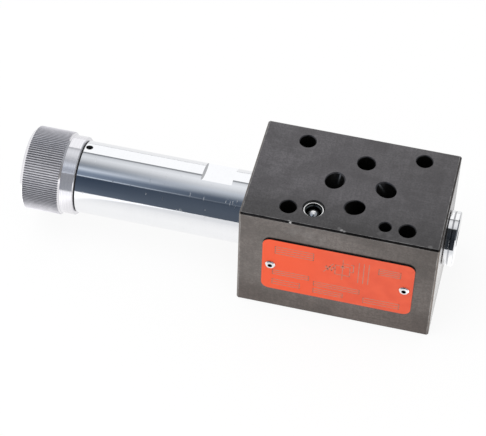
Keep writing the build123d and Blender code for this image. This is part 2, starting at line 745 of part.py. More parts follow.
def drive_spindle():
    """The bar that carries the knob's turn to the plunger: round in the knob, hexagonal beyond."""
    shank = DRIVE_BORE_RADIUS - SEAL_CLEARANCE
    start = HUB_END_X - DRIVE_BORE_DEPTH + SEAL_CLEARANCE
    end = PLUNGER_START_X + PLUNGER_SOCKET_DEPTH - DRIVE_END_GAP
    round_part = turned([(start, 0), (start, shank), (HUB_END_X, shank), (HUB_END_X, 0)])
    return round_part + hexagon_bar(DRIVE_HEX, HUB_END_X, end)


def knurl_prism(start_x, length):
    """A prism with straight knurl teeth all round."""
    points = []
    step = pi / KNURL_TEETH
    for index in range(2 * KNURL_TEETH):
        radius = KNURL_RADIUS - KNURL_DEPTH * (index % 2)
        angle = index * step
        points.append((radius * cos(angle), radius * sin(angle)))
    outline = make_face(Polyline(*points, close=True))
    base = Plane(origin=(start_x, 0, AXIS_HEIGHT), z_dir=(1, 0, 0))
    return extrude(base * outline, length, dir=(1, 0, 0))


def knob():
    """The hand knob: knurled grip, smooth collar and the hub inside the sleeve."""
    knurl_end = KNOB_SHOULDER_X - COLLAR_LENGTH
    left = knurl_end - KNURL_LENGTH - KNURL_SHOULDER_LENGTH
    grip_profile = [
        (left, 0),
        (left, KNURL_RADIUS - KNURL_END_CHAMFER),
        (left + KNURL_END_CHAMFER, KNURL_RADIUS),
        (knurl_end - KNURL_SHOULDER_LENGTH, KNURL_RADIUS),
        (knurl_end, COLLAR_RADIUS),
        (knurl_end, 0),
    ]
    grip = knurl_prism(left, knurl_end - left) & turned(grip_profile)
    seal_end = HUB_END_X - HUB_SEAL_START
    seal_start = seal_end - HUB_SEAL_WIDTH
    groove_start = PIN_X - PIN_GROOVE_WIDTH / 2
    groove_end = PIN_X + PIN_GROOVE_WIDTH / 2
    bore_floor = HUB_END_X - DRIVE_BORE_DEPTH
    hub_profile = [
        (knurl_end, 0),
        (knurl_end, COLLAR_RADIUS),
        (KNOB_SHOULDER_X - COLLAR_CHAMFER, COLLAR_RADIUS),
        (KNOB_SHOULDER_X, COLLAR_RADIUS - COLLAR_CHAMFER),
        (KNOB_SHOULDER_X, HUB_RADIUS),
        (groove_start, HUB_RADIUS),
        (groove_start, PIN_GROOVE_FLOOR),
        (groove_end, PIN_GROOVE_FLOOR),
        (groove_end, HUB_RADIUS),
        (seal_start, HUB_RADIUS),
        (seal_start, HUB_SEAL_FLOOR),
        (seal_end, HUB_SEAL_FLOOR),
        (seal_end, HUB_RADIUS),
        (HUB_END_X, HUB_RADIUS),
        (HUB_END_X, 0),
    ]
    dish = [
        (left - OVERRUN, 0),
        (left - OVERRUN, KNOB_DISH_RADIUS + KNOB_DISH_DEPTH),
        (left, KNOB_DISH_RADIUS),
        (left + KNOB_DISH_DEPTH, KNOB_DISH_RADIUS - KNOB_DISH_DEPTH),
        (left + KNOB_DISH_DEPTH, KNOB_CENTRE_RADIUS),
        (left + KNOB_DISH_DEPTH + KNOB_CENTRE_RADIUS, 0),
    ]
    bore = rod((bore_floor, 0, AXIS_HEIGHT), (HUB_END_X + OVERRUN, 0, AXIS_HEIGHT), DRIVE_BORE_RADIUS)
    return grip + turned(hub_profile) - turned(dish) - bore


def knob_o_ring():
    """The seal in the hub's groove."""
    radius = (HUB_BORE_RADIUS - HUB_SEAL_FLOOR) / 2 - SEAL_CLEARANCE
    middle = (HUB_BORE_RADIUS + HUB_SEAL_FLOOR) / 2
    place = HUB_END_X - HUB_SEAL_START - radius - SEAL_CLEARANCE
    section = Plane.XZ * Pos(place, middle) * Circle(radius)
    return Pos(0, 0, AXIS_HEIGHT) * revolve(section, Axis.X)


def knob_backup_ring():
    """The flat ring that supports the hub's seal on the outer side."""
    start = HUB_END_X - HUB_SEAL_START - HUB_SEAL_WIDTH + SEAL_CLEARANCE
    end = start + BACKUP_RING_WIDTH
    inner = HUB_SEAL_FLOOR + SEAL_CLEARANCE
    outer = HUB_BORE_RADIUS - SEAL_CLEARANCE
    return turned([(start, inner), (start, outer), (end, outer), (end, inner)])


def knob_retaining_pin():
    """The pin through the sleeve's wall, whose tip runs in the hub's groove."""
    inner = PIN_GROOVE_FLOOR + PIN_TIP_GAP
    return rod(pin_point(inner), pin_point(SLEEVE_RADIUS - PIN_SINK), PIN_RADIUS)


PIECES = {
    "valve_body": valve_body,
    "port_o_rings": port_o_rings,
    "nameplate": nameplate,
    "nameplate_rivets": nameplate_rivets,
    "expander_sleeve": expander_sleeve,
    "expander_ball": expander_ball,
    "gauge_port_plug": gauge_port_plug,
    "gauge_port_washer": gauge_port_washer,
    "gauge_port_seal_lip": gauge_port_seal_lip,
    "adjuster_sleeve": adjuster_sleeve,
    "sleeve_o_ring": sleeve_o_ring,
    "spool": spool,
    "damping_orifice": damping_orifice,
    "spool_spring_plate": spool_spring_plate,
    "main_spring": main_spring,
    "adjuster_spring_plate": adjuster_spring_plate,
    "thrust_ball": thrust_ball,
    "adjusting_plunger": adjusting_plunger,
    "drive_spindle": drive_spindle,
    "knob": knob,
    "knob_o_ring": knob_o_ring,
    "knob_backup_ring": knob_backup_ring,
    "knob_retaining_pin": knob_retaining_pin,
}

os.makedirs("parts", exist_ok=True)
for name, make in PIECES.items():
    export_step(make(), f"parts/{name}.step")
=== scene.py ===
import bpy
import json
from math import cos, degrees, sin, tau
from mathutils import Matrix, Vector


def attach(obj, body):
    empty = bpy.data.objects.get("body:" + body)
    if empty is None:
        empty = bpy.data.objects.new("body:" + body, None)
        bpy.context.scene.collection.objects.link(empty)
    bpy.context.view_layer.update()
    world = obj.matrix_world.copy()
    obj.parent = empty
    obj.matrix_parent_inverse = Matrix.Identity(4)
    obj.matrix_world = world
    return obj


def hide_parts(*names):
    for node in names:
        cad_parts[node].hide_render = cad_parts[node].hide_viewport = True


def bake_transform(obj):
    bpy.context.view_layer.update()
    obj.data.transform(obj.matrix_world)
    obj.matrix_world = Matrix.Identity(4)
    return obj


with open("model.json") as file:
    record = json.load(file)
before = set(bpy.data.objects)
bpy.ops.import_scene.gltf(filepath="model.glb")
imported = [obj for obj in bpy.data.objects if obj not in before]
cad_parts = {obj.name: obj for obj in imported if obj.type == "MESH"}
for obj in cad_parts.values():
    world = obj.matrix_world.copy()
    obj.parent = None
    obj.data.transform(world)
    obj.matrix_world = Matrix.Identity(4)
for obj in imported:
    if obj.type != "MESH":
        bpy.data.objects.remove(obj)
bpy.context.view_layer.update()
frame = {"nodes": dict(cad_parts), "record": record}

# Metres in a millimetre. Where a look has two limits, it starts at the first and is full at the
# second.
MM = 0.001

# The valve block, in millimetres
BLOCK_X = (-36.8, 31.0)
BLOCK_Y = (-22.3, 22.3)
BLOCK_Z = (0.0, 44.8)
BLOCK_TOP = BLOCK_Z[1]
CHAMFER = 0.6

# The nameplate, in millimetres: the middle of its face along X and Z, and where its face is along
# Y
PLATE_CENTRE = (-2.15, 22.4)
PLATE_FACE_Y = -22.9

# The valve's axis and the knob, in millimetres: where the knurl ends and the smooth collar starts,
# the knurl's radius at the grooves and at the ridges, and where the end face's duller metal starts
AXIS_Z = 22.4
KNURL_END_X = -102.7
GROOVE_RADIUS = 14.5
RIDGE_RADIUS = 14.72
END_FACE_X = (-112.0, -114.0)

# The expander in the top face, in millimetres: centre, the radius inside and outside its lip with
# its painted highlight, and the radius up to which painted shade darkens the block round it
EXPANDER_CENTRE = (-13.1, -14.25)
EXPANDER_LIP = (3.08, 3.34)
EXPANDER_SEAT = (4.4, 4.2)

# The gauge port plug, in millimetres: height of its axis, end face, and its socket's radius over
# corners
PLUG_AXIS_Z = 27.2
PLUG_FACE_X = 34.7
SOCKET_RADIUS = 3.3

# The rivets' bores, in millimetres: distance from the plate's middle and radius
RIVET_OFFSET = 23.07
RIVET_BORE_RADIUS = 0.78

# Camera of the photograph: place and directions in metres, lens and sensor in millimetres
CAMERA_PLACE = (56.6131 * MM, -449.3731 * MM, 537.7643 * MM)
CAMERA_RIGHT = (0.97202764, 0.23390051, 0.02127964)
CAMERA_DOWN = (0.18917388, -0.72600544, -0.66115758)
CAMERA_AHEAD = (-0.13919596, 0.64668899, -0.74994522)
CAMERA_LENS = 147.11
SENSOR_WIDTH = 36.0

WHITE = (1.0, 1.0, 1.0, 1.0)


def linear(value):
    """A display value of 0 to 255 as linear light."""
    share = value / 255
    return share / 12.92 if share <= 0.04045 else ((share + 0.055) / 1.055) ** 2.4


def colour(red, green, blue):
    """A display colour as linear red, green, blue and alpha."""
    return (linear(red), linear(green), linear(blue), 1.0)


def in_metres(point):
    """A point in millimetres, in metres."""
    return tuple(value * MM for value in point)


def placed(name, data):
    """A new object of the scene with this data."""
    made = bpy.data.objects.new(name, data)
    bpy.context.collection.objects.link(made)
    return made


class Graph:
    """A short way to write a node tree."""

    def __init__(self, tree):
        self.tree = tree
        tree.nodes.clear()

    def put(self, socket, value):
        """Link an output to the socket, or set its own value."""
        if isinstance(value, bpy.types.NodeSocket):
            self.tree.links.new(value, socket)
        else:
            socket.default_value = value

    def node(self, kind, inputs=None, **settings):
        """A new shader node with these inputs and settings."""
        made = self.tree.nodes.new("ShaderNode" + kind)
        for name, value in settings.items():
            setattr(made, name, value)
        for name, value in (inputs or {}).items():
            self.put(made.inputs[name], value)
        return made

    def math(self, operation, *values):
        made = self.node("Math", operation=operation)
        for socket, value in zip(made.inputs, values):
            self.put(socket, value)
        return made.outputs[0]

    def both(self, first, second):
        """The product of two shares."""
        return self.math("MULTIPLY", first, second)

    def apart(self, value, middle):
        """How far a value is from the middle, to either side."""
        return self.math("ABSOLUTE", self.math("SUBTRACT", value, middle))

    def vector(self, operation, *values):
        made = self.node("VectorMath", operation=operation)
        for socket, value in zip(made.inputs, values):
            self.put(socket, value)
        return made

    def place(self):
        """The place in the valve's own frame, in metres."""
        return self.node("TexCoord").outputs["Object"]

    def axes(self, vector):
        """The three parts of a vector."""
        return self.node("SeparateXYZ", {"Vector": vector}).outputs

    def facing(self, axis):
        """1 on a face that looks along this axis, either way, and 0 on one that lies along it."""
        normal = self.node("NewGeometry").outputs["Normal"]
        return self.math("ABSOLUTE", self.axes(normal)[axis])

    def line(self, value):
        """A vector for noise that changes only with this value."""
        return self.node("CombineXYZ", {"X": value}).outputs[0]

    def radius(self, first, second):
        """The length of a vector with these two parts."""
        made = self.node("CombineXYZ", {"X": first, "Y": second}).outputs[0]
        return self.vector("LENGTH", made).outputs["Value"]

    def distance(self, place, point):
        """The distance from a point that is given in millimetres, in metres."""
        return self.vector("DISTANCE", place, in_metres(point)).outputs["Value"]

    def angle(self, y, up):
        """The angle in degrees from the front (-Y) up over the top."""
        turn = self.math("ARCTAN2", up, self.math("MULTIPLY", y, -1.0))
        return self.math("MULTIPLY", turn, degrees(1.0))

    def scaled(self, vector, factors):
        """A vector or colour with each part multiplied by its factor."""
        return self.vector("MULTIPLY", vector, factors).outputs[0]

    def noise(self, vector, scale, detail=3.0, roughness=0.55, distortion=0.0):
        """Noise of 0 to 1. The scale is per metre of the vector."""
        values = {
            "Vector": vector,
            "Scale": scale,
            "Detail": detail,
            "Roughness": roughness,
            "Distortion": distortion,
        }
        return self.node("TexNoise", values).outputs["Fac"]

    def span(self, value, low, high, start=0.0, end=1.0, smooth=True):
        """The value's place between low and high, given as start to end."""
        kind = "SMOOTHSTEP" if smooth else "LINEAR"
        values = {
            "Value": value,
            "From Min": low,
            "From Max": high,
            "To Min": start,
            "To Max": end,
        }
        return self.node("MapRange", values, interpolation_type=kind).outputs["Result"]

    def span_mm(self, value, low, high, start=0.0, end=1.0, smooth=True):
        """The same for a length, with low and high in millimetres."""
        return self.span(value, low * MM, high * MM, start, end, smooth)

    def mix(self, share, first, second):
        """The first colour where the share is 0, and the second where it is 1."""
        made = self.node("Mix", data_type="RGBA")
        self.put(made.inputs["Factor"], share)
        self.put(made.inputs[6], first)
        self.put(made.inputs[7], second)
        return made.outputs[2]

    def ramp(self, value, stops):
        """Colours along a value of 0 to 1."""
        made = self.node("ValToRGB", {"Fac": value})
        line = made.color_ramp.elements
        line[0].position, line[0].color = stops[0]
        line[1].position, line[1].color = stops[-1]
        for position, shade in stops[1:-1]:
            line.new(position).color = shade
        return made.outputs["Color"]

    def bump(self, height, distance, strength=1.0):
        """A normal bent by this height, with the distance in millimetres."""
        values = {"Height": height, "Distance": distance * MM, "Strength": strength}
        return self.node("Bump", values).outputs["Normal"]

    def surface(self, **values):
        """A principled shader as the output. Names are written with _ for a space."""
        inputs = {name.replace("_", " "): value for name, value in values.items()}
        self.show(self.node("BsdfPrincipled", inputs))

    def show(self, shader, output="OutputMaterial"):
        """The shader as the tree's result."""
        self.tree.links.new(shader.outputs[0], self.node(output).inputs["Surface"])


def new_material(name):
    """A material and its empty node tree."""
    material = bpy.data.materials.new(name)
    material.use_nodes = True
    return material, Graph(material.node_tree)


# Chips and rubbed places on the block, in millimetres: centre, radius and strength
WORN_SPOTS = (
    ((-19.4, -22.0, 44.5), 0.85, 0.75),
    ((-19.9, -21.5, 44.8), 0.5, 0.5),
    ((-2.2, -21.4, 44.8), 0.75, 0.26),
    ((-1.2, -21.8, 44.8), 0.75, 0.22),
    ((-3.2, -20.9, 44.8), 0.8, 0.08),
    ((10.6, -19.4, 44.8), 1.7, 0.03),
    ((13.2, -19.6, 44.8), 1.8, 0.03),
    ((27.6, -21.3, 44.8), 0.9, 0.08),
    ((-18.0, -22.3, 40.6), 2.6, 0.045),
    ((-13.4, -22.3, 40.2), 3.6, 0.045),
    ((-8.6, -22.3, 38.6), 2.6, 0.035),
)

# How far their outline strays, in radii
RAGGED = 2.4

# The stained ring round the locating pin's hole, in millimetres: centre, radius and how far it
# reaches
PIN_HOLE = (11.5, -16.25, 44.8)
PIN_RING_RADIUS = 3.5
PIN_RING_REACH = (0.9, 0.2)

# Painted reflection streaks along the walls of ports A and B, in millimetres: a place and a direction
BORE_REFLECTION_STREAKS = (
    ((-7.6, 3.2, 44.4), (-0.10, -0.56, -0.82)),
    ((5.9, 2.2, 44.6), (0.60, -0.15, -0.78)),
)
STREAK_RADIUS = 0.42
STREAK_BOTTOM = 41.4
STREAK_FADE = 1.2

# How deep under its face painted shade darkens the block, in millimetres: round the expander, in
# the mouths, which are this far from an edge, and in the bores
SEAT_DEPTH = (0.04, 0.1)
MOUTH_DEPTH = (0.24, 0.3)
MOUTH_FROM_EDGE = (1.2, 1.3)
BORE_DEPTH = (0.32, 0.5)

# The block's colours, partly painted shade: its top at the front, the back and the right, its sides
# at the left, the right and the bottom, the factors of its dark clouds and of the painted shade on
# its chamfers, the metal bared by wear, and the painted shade in the bores with their painted
# reflection streaks
TOP_FRONT = (0.106, 0.102, 0.104, 1)
TOP_BACK = (0.172, 0.163, 0.172, 1)
TOP_RIGHT = (0.132, 0.126, 0.130, 1)
SIDE_LEFT = (0.262, 0.232, 0.215, 1)
SIDE_RIGHT = (0.192, 0.168, 0.155, 1)
SIDE_LOW = (0.145, 0.116, 0.104, 1)
CLOUD_FACTORS = (0.45, 0.45, 0.45)
CHAMFER_SHADE_FACTORS = (0.85, 0.76, 0.68)
RUBBED_METAL = (0.42, 0.41, 0.40, 1)
CHIPPED_METAL = (0.85, 0.84, 0.83, 1)
BORE_PAINTED_SHADE = (0.045, 0.043, 0.041, 1)
BORE_REFLECTION_SHADE = (0.34, 0.34, 0.34, 1)
BORE_ROUGHNESS = (0.5, 0.5, 0.5, 1)
BORE_STREAK_ROUGHNESS = (0.25, 0.25, 0.25, 1)


def block_depths(graph, place):
    """How deep a place is under the block's nearest face, and how far from the nearest edge."""
    depths = []
    for value, (low, high) in zip(graph.axes(place), (BLOCK_X, BLOCK_Y, BLOCK_Z)):
        middle = (low + high) / 2 * MM
        half = (high - low) / 2 * MM
        depths.append(graph.math("SUBTRACT", half, graph.apart(value, middle)))
    first, second, third = depths
    total = graph.math("ADD", graph.math("ADD", first, second), third)
    least = graph.math("MINIMUM", graph.math("MINIMUM", first, second), third)
    most = graph.math("MAXIMUM", graph.math("MAXIMUM", first, second), third)
    return least, graph.math("SUBTRACT", graph.math("SUBTRACT", total, least), most)


def block_bores(graph, place, depth, edge):
    """1 where painted shade darkens the block: in its bores, in their mouths and round the expander.
    """
    from_expander = graph.distance(place, (*EXPANDER_CENTRE, BLOCK_TOP))
    near_expander = graph.span_mm(from_expander, *EXPANDER_SEAT)
    seat = graph.both(graph.span_mm(depth, *SEAT_DEPTH), near_expander)
    mouth = graph.both(graph.span_mm(depth, *MOUTH_DEPTH), graph.span_mm(edge, *MOUTH_FROM_EDGE))
    mouth = graph.math("MAXIMUM", mouth, seat)
    return graph.math("MAXIMUM", mouth, graph.span_mm(depth, *BORE_DEPTH))


def painted_bore_reflections(graph, place):
    """1 on the painted reflection streaks in the walls of two ports."""
    marks = 0.0
    for start, direction in BORE_REFLECTION_STREAKS:
        direction = tuple(Vector(direction).normalized())
        offset = graph.vector("SUBTRACT", place, in_metres(start)).outputs[0]
        across = graph.vector("CROSS_PRODUCT", offset, direction).outputs[0]
        aside = graph.vector("LENGTH", across).outputs["Value"]
        marks = graph.math("MAXIMUM", marks, graph.span_mm(aside, STREAK_RADIUS, 0.3 * STREAK_RADIUS))
    z = graph.axes(place)[2]
    return graph.both(marks, graph.span_mm(z, STREAK_BOTTOM, STREAK_BOTTOM + STREAK_FADE))


def block_chips(graph, place, patches):
    """How bare the block is in its chips and rubbed places, whose outline is ragged."""
    chipped = 0.0
    ragged = graph.math("SUBTRACT", patches, 0.5)
    for centre, radius, strength in WORN_SPOTS:
        away = graph.distance(place, centre)
        away = graph.math("MULTIPLY_ADD", ragged, RAGGED * radius * MM, away)
        spot = graph.span_mm(away, radius, 0.3 * radius, 0.0, strength)
        chipped = graph.math("MAXIMUM", chipped, spot)
    return chipped


def oxide_and_painted_shade(graph, place, edge, fine, cloudy):
    """The dark skin, with painted shade: darker and cooler on the top, darkest near its front, darker
    to the right, and darker towards the bottom of the sides.
    """
    x, y, z = graph.axes(place)
    on_top = graph.span_mm(z, BLOCK_TOP - 0.5, BLOCK_TOP - 0.1)
    to_back = graph.span_mm(y, -22.0, -3.0)
    to_right = graph.span_mm(x, -10.0, 31.0)
    low = graph.span_mm(z, 16.0, 3.0, 0.0, 0.75)
    # Painted shade: the top and the sides are lit and shaded copies of one oxide
    top = graph.mix(to_back, TOP_FRONT, TOP_BACK)
    top = graph.mix(graph.math("MULTIPLY", to_right, 0.5), top, TOP_RIGHT)
    side = graph.mix(low, graph.mix(to_right, SIDE_LEFT, SIDE_RIGHT), SIDE_LOW)
    oxide = graph.mix(on_top, side, top)
    darker = graph.scaled(oxide, CLOUD_FACTORS)

    broad = graph.noise(place, 38.0, 3.0, 0.55, 0.6)
    along = graph.noise(graph.scaled(place, (45.0, 900.0, 900.0)), 1.0, 4.0, 0.6)
    across = graph.noise(graph.scaled(place, (900.0, 45.0, 45.0)), 1.0, 4.0, 0.6)
    off_ring = graph.apart(graph.distance(place, PIN_HOLE), PIN_RING_RADIUS * MM)
    clouds = (
        graph.span(broad, 0.6, 0.38, 0.0, 0.34),
        graph.span(cloudy, 0.58, 0.38, 0.0, 0.5),
        graph.span(along, 0.36, 0.66, 0.0, 0.22),
        graph.span(across, 0.36, 0.66, 0.0, 0.22),
        graph.span(fine, 0.4, 0.62, 0.0, 0.5),
        graph.span_mm(off_ring, *PIN_RING_REACH, 0.0, 0.3),
    )
    for share in clouds:
        oxide = graph.mix(share, oxide, darker)
    # Painted shade on the chamfers, darker and warmer
    on_chamfer = graph.span_mm(edge, 0.98 * CHAMFER, 0.85 * CHAMFER)
    return graph.mix(on_chamfer, oxide, graph.scaled(oxide, CHAMFER_SHADE_FACTORS))


def block_material():
    """Dark oiled steel, ground flat, with bare metal along the edges, painted shade in the bores and
    painted reflection streaks in two ports.
    """
    material, graph = new_material("block_steel_look")
    place = graph.place()
    depth, edge = block_depths(graph, place)
    in_bore = block_bores(graph, place, depth, edge)
    bore_reflection = painted_bore_reflections(graph, place)
    patches = graph.noise(place, 420.0, 4.0, 0.6)
    fine = graph.noise(place, 1500.0, 4.0, 0.7)
    cloudy = graph.noise(place, 110.0, 5.0, 0.65)
    chipped = block_chips(graph, place, patches)

    line = graph.span_mm(edge, 1.45 * CHAMFER, 1.05 * CHAMFER)
    off_chamfer = graph.span_mm(edge, 0.98 * CHAMFER, 0.8 * CHAMFER, 1.0, 0.05)
    worn = graph.both(graph.both(line, off_chamfer), graph.span(patches, 0.38, 0.62, 0.12, 0.6))
    shade = graph.mix(worn, oxide_and_painted_shade(graph, place, edge, fine, cloudy), RUBBED_METAL)
    shade = graph.mix(chipped, shade, CHIPPED_METAL)
    # Painted shade in the bores, with painted reflection streaks on two port walls
    shade = graph.mix(in_bore, shade, graph.mix(bore_reflection, BORE_PAINTED_SHADE, BORE_REFLECTION_SHADE))
    rough = graph.math("MULTIPLY_ADD", chipped, 0.15, graph.span(cloudy, 0.3, 0.7, 0.27, 0.36))
    rough = graph.mix(in_bore, rough, graph.mix(bore_reflection, BORE_ROUGHNESS, BORE_STREAK_ROUGHNESS))
    grain = graph.noise(graph.scaled(place, (900.0, 5200.0, 900.0)), 1.0, 2.0)
    height = graph.math("MULTIPLY_ADD", fine, 0.6, graph.math("MULTIPLY", grain, 0.4))
    graph.surface(
        Base_Color=shade,
        Metallic=graph.span(chipped, 0.0, 0.6, 1.0, 0.3, smooth=False),
        Roughness=rough,
        Normal=graph.bump(height, 0.004, 0.5),
        Coat_Weight=0.35,
        Coat_Roughness=0.06,
        Coat_IOR=1.5,
    )
    return material


# Short scratches that run round the sleeve: place along the axis in millimetres, and the angle and
# half length in degrees, counted from the front up
SCRATCHES = (
    (-61.1, 24.5, 2.5),
    (-59.9, 25.5, 4.0),
    (-59.2, 25.0, 3.0),
    (-57.2, 52.0, 5.0),
    (-52.3, 50.0, 6.0),
    (-51.2, 33.0, 3.0),
    (-44.6, 52.0, 4.0),
    (-43.1, 50.5, 6.5),
    (-42.2, 53.0, 4.5),
    (-40.8, 56.0, 4.0),
    (-72.4, 40.0, 3.0),
    (-84.3, 13.0, 4.0),
)
SCRATCH_WIDTH = 0.12

# Painted shade on the sleeve where it enters the block, in millimetres along the axis
SLEEVE_ENTRY_X = (-38.3, -37.5)

# The plating's colours: bright and dull, then painted shade on end faces, where the sleeve enters
# the block and in the plug's socket, then how much each kind of clouding dulls it
PLATING = (0.90, 0.905, 0.92, 1)
DULL_PLATING = (0.82, 0.825, 0.84, 1)
PLATED_END_SHADE = (0.16, 0.16, 0.17, 1)
SLEEVE_ENTRY_SHADE = (0.02, 0.022, 0.025, 1)
SOCKET_PAINTED_SHADE = (0.03, 0.03, 0.031, 1)
DULL_SHARE = 0.15


def sleeve_scratches(graph, place):
    """1 on the sleeve's scratches."""
    x, y, z = graph.axes(place)
    angle = graph.angle(y, graph.math("SUBTRACT", z, AXIS_Z * MM))
    scratches = 0.0
    for along, middle, half in SCRATCHES:
        aside = graph.span_mm(graph.apart(x, along * MM), SCRATCH_WIDTH, 0.3 * SCRATCH_WIDTH)
        round_it = graph.span(graph.apart(angle, middle), half, 0.2 * half, 0.0, 0.55)
        scratches = graph.math("MAXIMUM", scratches, graph.both(aside, round_it))
    return scratches


def plug_socket(graph, x, y, z):
    """1 in the key socket of the gauge port plug, which gets painted shade."""
    from_axis = graph.radius(y, graph.math("SUBTRACT", z, PLUG_AXIS_Z * MM))
    inside = graph.span_mm(from_axis, SOCKET_RADIUS + 0.15, SOCKET_RADIUS)
    inside = graph.both(inside, graph.span_mm(x, PLUG_FACE_X, PLUG_FACE_X - 0.4))
    return graph.both(inside, graph.span_mm(x, 0.0, 10.0))


def plated_material():
    """Turned and plated steel: marks that run round it, painted shade on end faces, where it enters
    the block and in the plug's socket, and small scratches.
    """
    material, graph = new_material("plated_steel_look")
    place = graph.place()
    x, y, z = graph.axes(place)
    marks = graph.noise(graph.line(x), 5200.0, 3.0, 0.7)
    bands = graph.noise(graph.line(x), 900.0, 2.0, 0.6)
    cloudy = graph.noise(place, 160.0, 3.0, 0.6)
    hairs = graph.noise(graph.scaled(place, (700.0, 170.0, 170.0)), 1.0, 2.0, 0.5)
    wavy = graph.noise(graph.scaled(place, (70.0, 260.0, 260.0)), 1.0, 2.0)
    scratches = sleeve_scratches(graph, place)

    dull = graph.math("MULTIPLY", graph.span(bands, 0.3, 0.7), DULL_SHARE)
    dull = graph.math("MULTIPLY_ADD", graph.span(cloudy, 0.4, 0.75), DULL_SHARE, dull)
    shade = graph.mix(dull, PLATING, DULL_PLATING)
    # Painted shade on faces that look along the axis
    shade = graph.mix(graph.span(graph.facing(0), 0.5, 0.95), shade, PLATED_END_SHADE)
    # Painted shade where the sleeve enters the block
    entry_shade = graph.both(graph.span_mm(x, *SLEEVE_ENTRY_X, 0.0, 0.85), graph.span_mm(x, 0.0, -10.0))
    shade = graph.mix(entry_shade, shade, SLEEVE_ENTRY_SHADE)
    # Painted shade in the plug's socket
    shade = graph.mix(plug_socket(graph, x, y, z), shade, SOCKET_PAINTED_SHADE)
    rough = graph.span(marks, 0.25, 0.75, 0.04, 0.08)
    rough = graph.math("ADD", rough, graph.span(hairs, 0.68, 0.74, 0.0, 0.22))
    rough = graph.math("MULTIPLY_ADD", scratches, 0.4, rough)
    graph.surface(
        Base_Color=shade,
        Metallic=graph.span(scratches, 0.0, 1.0, 1.0, 0.45),
        Roughness=rough,
        Normal=graph.bump(graph.math("MULTIPLY_ADD", wavy, 12.0, marks), 0.0015, 0.6),
    )
    return material


# The knob's shades, each bright and dull: the collar and the chamfers, the faced end, and the
# knurl's ridges, then the painted shade in the knurl's grooves
COLLAR = ((0.90, 0.89, 0.91, 1), (0.70, 0.69, 0.73, 1))
FACED_END = ((0.40, 0.40, 0.42, 1), (0.31, 0.31, 0.33, 1))
KNURL_RIDGE = ((0.80, 0.79, 0.83, 1), (0.68, 0.67, 0.71, 1))
KNURL_GROOVE_SHADE = (0.18, 0.177, 0.192, 1)


def knob_material():
    """Plated knob: a bright turned collar, a duller knurl with painted shade in its grooves, and a
    grey end.
    """
    material, graph = new_material("knob_steel_look")
    place = graph.place()
    x, y, z = graph.axes(place)
    radius = graph.radius(y, graph.math("SUBTRACT", z, AXIS_Z * MM))
    marks = graph.noise(graph.line(x), 4200.0, 3.0, 0.7)
    rings = graph.noise(graph.line(radius), 3000.0, 3.0, 0.7)
    cloudy = graph.noise(place, 300.0, 3.0, 0.6)
    fine = graph.noise(place, 2600.0, 3.0, 0.6)
    facing = graph.facing(0)
    on_knurl = graph.span_mm(x, KNURL_END_X + 0.1, KNURL_END_X - 0.1)
    on_knurl = graph.both(on_knurl, graph.span(facing, 0.55, 0.3))
    on_end = graph.both(graph.span(facing, 0.85, 0.97), graph.span_mm(x, *END_FACE_X))

    collar = graph.mix(graph.span(marks, 0.35, 0.65), *COLLAR)
    collar = graph.mix(on_end, collar, graph.mix(graph.span(rings, 0.35, 0.65), *FACED_END))
    ridge = graph.mix(graph.span(cloudy, 0.35, 0.7), *KNURL_RIDGE)
    # Painted shade in the knurl's grooves
    knurl = graph.mix(graph.span_mm(radius, GROOVE_RADIUS, RIDGE_RADIUS), KNURL_GROOVE_SHADE, ridge)
    collar_rough = graph.span(marks, 0.3, 0.7, 0.08, 0.16)
    knurl_rough = graph.span(fine, 0.3, 0.7, 0.36, 0.48)
    graph.surface(
        Base_Color=graph.mix(on_knurl, collar, knurl),
        Metallic=graph.span(on_knurl, 0.0, 1.0, 0.74, 0.75),
        Roughness=graph.mix(on_knurl, collar_rough, knurl_rough),
        Normal=graph.bump(marks, 0.004, 0.6),
    )
    return material


# Painted shade inside the rivets' bores
RIVET_BORE_PAINTED_SHADE = (0.02, 0.02, 0.02, 1)


def in_rivet_bore(graph, place):
    """1 in the bores of the two rivets, where shade is painted."""
    x, _, z = graph.axes(place)
    from_rivet = graph.math("SUBTRACT", graph.apart(x, PLATE_CENTRE[0] * MM), RIVET_OFFSET * MM)
    radius = graph.radius(from_rivet, graph.math("SUBTRACT", z, PLATE_CENTRE[1] * MM))
    return graph.span_mm(radius, RIVET_BORE_RADIUS + 0.06, RIVET_BORE_RADIUS)


def plain_steel(name, base, dull, roughness, bored=False):
    """Ground or drawn metal with a fine grain and faint clouding. Bored means painted shade in the
    rivet bores.
    """
    material, graph = new_material(name + "_look")
    place = graph.place()
    grain = graph.noise(place, 3600.0, 3.0, 0.6)
    cloudy = graph.noise(place, 900.0, 3.0, 0.6)
    shade = graph.mix(graph.span(cloudy, 0.35, 0.7), base, dull)
    if bored:
        # Painted shade in the rivets' bores
        shade = graph.mix(in_rivet_bore(graph, place), shade, RIVET_BORE_PAINTED_SHADE)
    graph.surface(
        Base_Color=shade,
        Metallic=1.0,
        Roughness=graph.span(grain, 0.3, 0.7, roughness * 0.8, roughness * 1.2),
        Normal=graph.bump(grain, 0.002, 0.5),
    )
    return material


# The expander's colours: its lip with a painted highlight, bright and dull, then painted shade on its
# inner wall and its inner step
LIP_HIGHLIGHT = ((1.0, 1.0, 1.0, 1), (0.94, 0.94, 0.94, 1))
EXPANDER_WALL_SHADE = (0.03, 0.032, 0.031, 1)
EXPANDER_STEP_SHADE = (0.16, 0.17, 0.165, 1)


